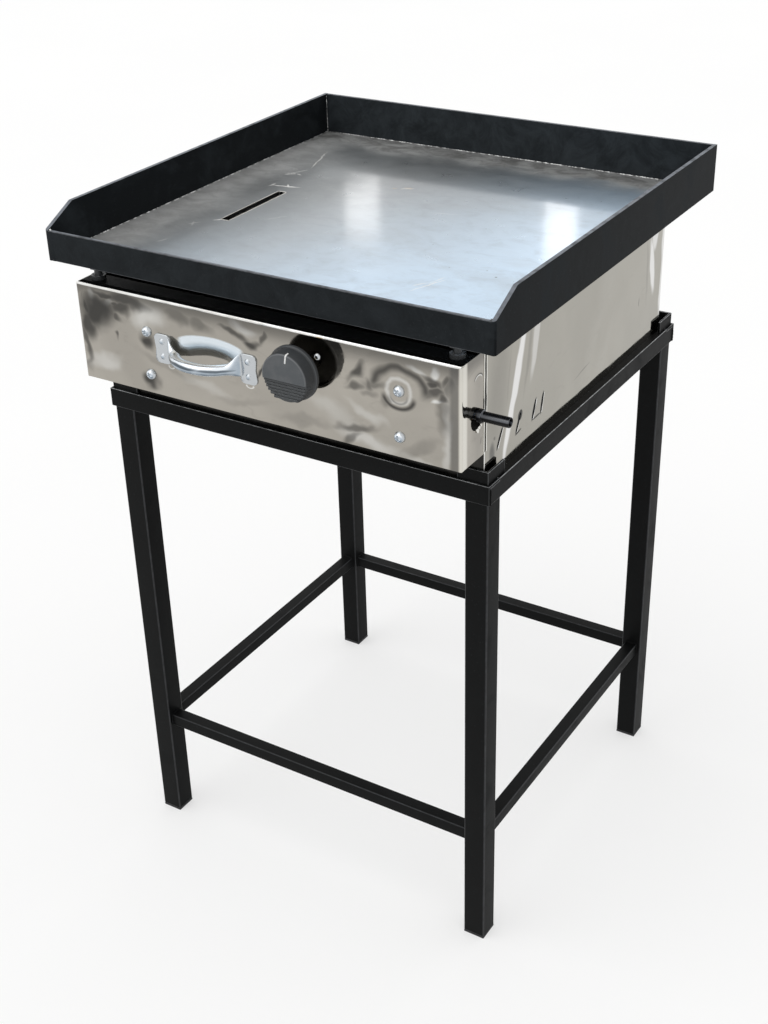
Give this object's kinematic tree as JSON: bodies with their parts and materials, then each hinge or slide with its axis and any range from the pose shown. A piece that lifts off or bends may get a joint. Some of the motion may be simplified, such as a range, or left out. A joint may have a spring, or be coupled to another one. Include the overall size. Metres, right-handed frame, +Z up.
{
  "type": "gas griddle",
  "caption": "Gas griddle: rimmed steel plate over a polished housing with one knob and a handle, set on a square-tube stand with stretchers.",
  "frame": {"origin": "on the floor, in the middle of the whole outline", "axes": "+Z up, front of the griddle with knob and handle towards -Y, gas inlet on the +X side"},
  "size_m": [0.614, 0.654, 0.942],
  "materials": {
    "black_paint": "satin black paint",
    "end_cap": "matt",
    "stainless": "mirror-polished stainless sheet",
    "inner_sheet": "plain stainless sheet",
    "zinc": "bright zinc plate",
    "plate_steel": "bare hot-rolled steel, oiled",
    "knob_plastic": "satin heat-proof plastic",
    "inlet_black": "semi-gloss black",
    "brass": "machined",
    "burner_steel": "heat-tinted stainless"
  },
  "bodies": {
    "stand": {"leg_front_left": "black_paint", "leg_front_right": "black_paint", "leg_rear_left": "black_paint", "leg_rear_right": "black_paint", "leg_end_caps": "end_cap", "frame_bar_front": "black_paint", "frame_bar_rear": "black_paint", "frame_bar_left": "black_paint", "frame_bar_right": "black_paint", "stretcher_front": "black_paint", "stretcher_rear": "black_paint", "stretcher_left": "black_paint", "stretcher_right": "black_paint", "guide_front_left": "black_paint", "guide_front_right": "black_paint", "guide_rear_left": "black_paint", "guide_rear_right": "black_paint"},
    "housing": {"housing_side_left": "stainless", "housing_side_right": "stainless", "housing_rear_panel": "stainless", "housing_front_wall": "inner_sheet", "housing_floor": "inner_sheet", "front_box": "stainless", "box_bracket_left": "inner_sheet", "box_bracket_right": "inner_sheet", "front_screws": "zinc", "front_screw_nuts": "zinc", "handle": "zinc", "handle_rivets": "zinc", "griddle_rest_front": "black_paint", "griddle_rest_rear": "black_paint", "gas_manifold": "burner_steel", "inlet_coupling": "brass", "gas_inlet": "inlet_black", "valve_body": "brass", "valve_screws": "zinc", "stem_spring": "zinc", "injector": "brass", "burner_tube": "burner_steel", "burner_end_cap": "burner_steel", "burner_cradles": "burner_steel", "tray_runners": "inner_sheet"},
    "stem_push": {"stem_collar": "brass"},
    "control_knob": {"valve_stem": "brass", "knob": "knob_plastic"},
    "tray": {"grease_tray": "inner_sheet"},
    "griddle": {"griddle_plate": "plate_steel", "rim_front": "black_paint", "rim_rear": "black_paint", "rim_left": "black_paint", "rim_right": "black_paint", "griddle_feet": "zinc", "griddle_foot_nuts": "zinc"}
  },
  "joints": [
    {"name": "housing_lift", "type": "slide", "parent": "stand", "child": "housing", "axis": [0, 0, 1], "range_m": [0, 0.15]},
    {"name": "griddle_lift", "type": "slide", "parent": "housing", "child": "griddle", "axis": [0, 0, 1], "range_m": [0, 0.2]},
    {"name": "tray_slide", "type": "slide", "parent": "housing", "child": "tray", "axis": [0, 1, 0], "range_m": [0, 0.3]},
    {"name": "knob_push", "type": "slide", "parent": "housing", "child": "stem_push", "axis": [0, 1, 0], "range_m": [0, 0.003], "stiffness_N_per_m": 2000, "springref_m": -0.004, "deforming": ["stem_spring"]},
    {"name": "knob_turn", "type": "hinge", "parent": "stem_push", "child": "control_knob", "pos_m": [0.064, -0.288, 0.817], "axis": [0, -1, 0], "range_deg": [0, 180]}
  ]
}
